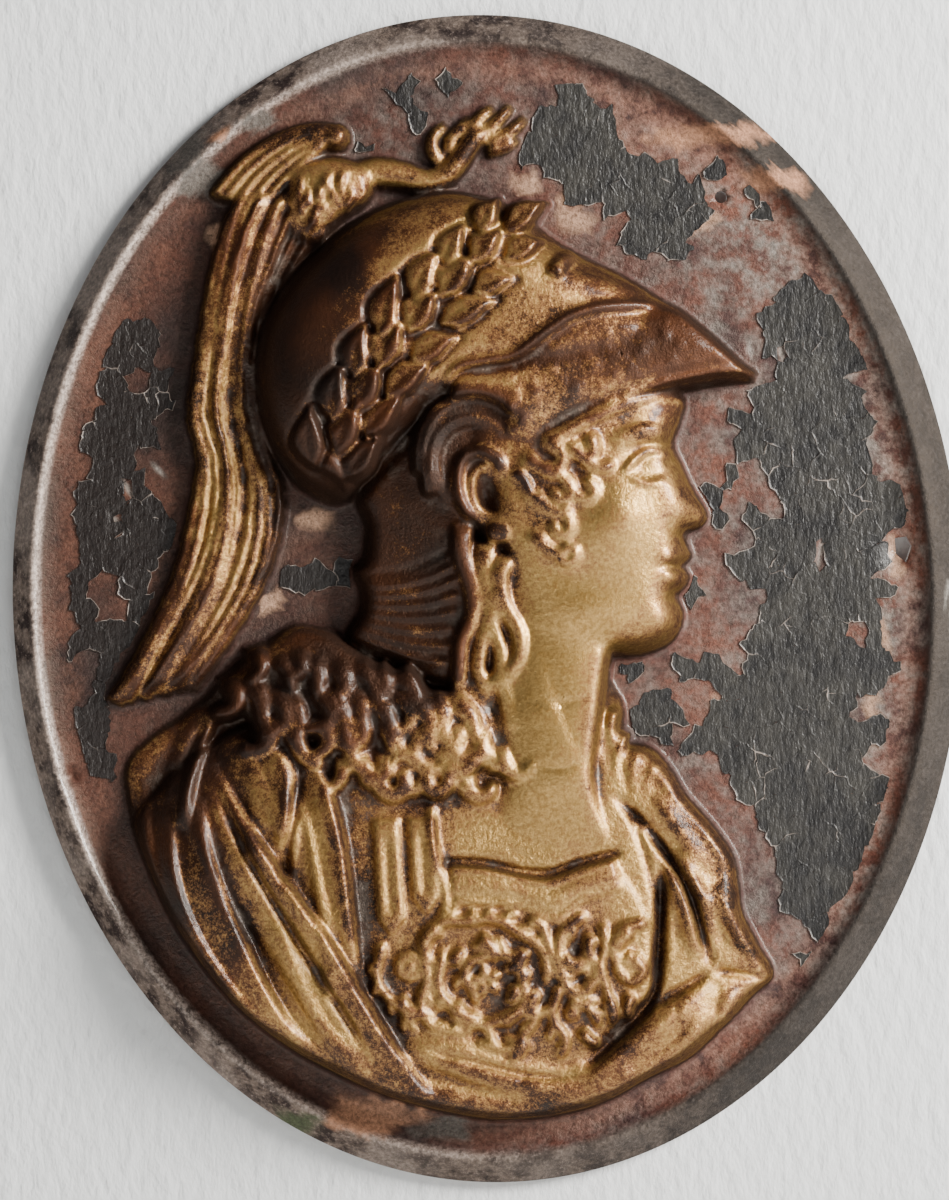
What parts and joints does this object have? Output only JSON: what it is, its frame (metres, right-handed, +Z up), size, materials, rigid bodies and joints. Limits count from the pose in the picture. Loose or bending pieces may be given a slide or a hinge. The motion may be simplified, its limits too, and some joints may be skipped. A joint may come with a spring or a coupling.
{
  "type": "relief medallion",
  "caption": "Upright oval wall medallion of cast metal with a rounded raised rim, a helmeted bust in profile in high relief, a flat back and small nail holes.",
  "frame": {"origin": "middle of the flat back face", "axes": "+Z up the long axis of the oval, +Y out of the flat back, so the relief faces -Y, and +X to the right of someone who looks at the relief"},
  "size_m": [0.122, 0.0143, 0.15],
  "materials": {
    "gilt_casting": "worn gilding on the figure, flaking black paint over red-brown on the ground, bare copper alloy where chipped"
  },
  "bodies": {
    "root": {"relief_medallion": "gilt_casting"}
  },
  "joints": []
}
